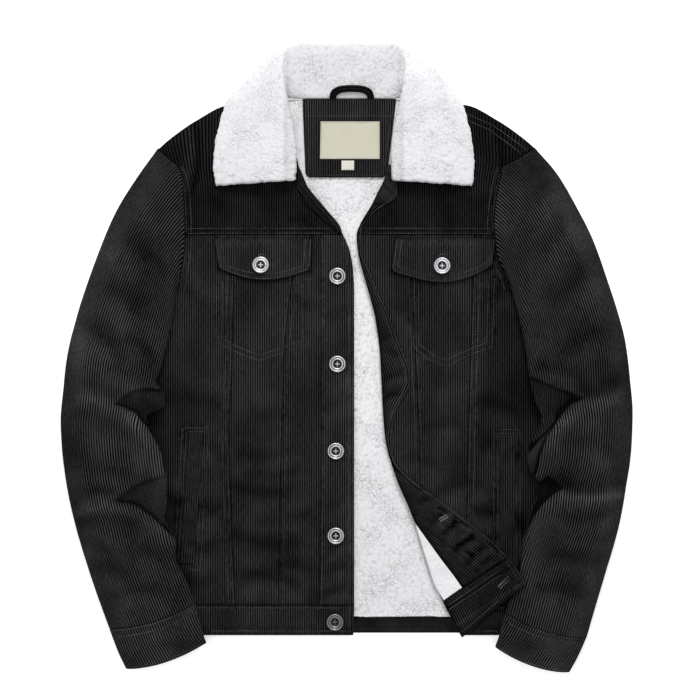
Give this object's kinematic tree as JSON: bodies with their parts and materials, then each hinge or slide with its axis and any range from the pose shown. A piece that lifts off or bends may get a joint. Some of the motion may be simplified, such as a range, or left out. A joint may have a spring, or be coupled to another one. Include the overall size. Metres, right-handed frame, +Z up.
{
  "type": "corduroy trucker jacket with pile collar and lining",
  "caption": "Button-front corduroy trucker jacket with a curly pile collar and lining, laid out flat with one front turned back to show the inside.",
  "frame": {"origin": "on the flat underside of the back panel, at the middle of the chest", "axes": "+Y up the back to the collar, +X to the wearer's left, +Z up out of the surface it lies on"},
  "size_m": [0.715, 0.7899, 0.0438],
  "materials": {
    "corduroy": "black wide-wale cotton corduroy, matt with a soft sheen on the ribs",
    "pile": "white curly pile, matt",
    "label": "printed woven label, pale green, plain",
    "button": "gunmetal-coloured four-hole buttons with a polished rim"
  },
  "bodies": {
    "root": {"back": "corduroy", "back_waistband": "corduroy", "neck_patch": "corduroy", "hanger_loop": "corduroy", "right_yoke": "corduroy", "right_side_panel": "corduroy", "right_centre_panel": "corduroy", "right_front_panel": "corduroy", "right_placket": "corduroy", "right_neck_roll": "corduroy", "right_flap": "corduroy", "right_welt": "corduroy", "right_waistband": "corduroy", "left_yoke": "corduroy", "left_side_panel": "corduroy", "left_centre_panel": "corduroy", "left_front_panel": "corduroy", "left_flap": "corduroy", "left_welt": "corduroy", "left_waistband": "corduroy", "left_facing": "corduroy", "left_turned_band": "corduroy", "right_sleeve": "corduroy", "right_cuff": "corduroy", "left_sleeve": "corduroy", "left_cuff": "corduroy", "back_lining": "pile", "collar": "pile", "left_turned_lining": "pile", "main_label": "label", "size_label": "label", "button_1": "button", "button_2": "button", "button_3": "button", "button_4": "button", "button_5": "button", "right_flap_button": "button", "left_flap_button": "button"}
  },
  "joints": []
}
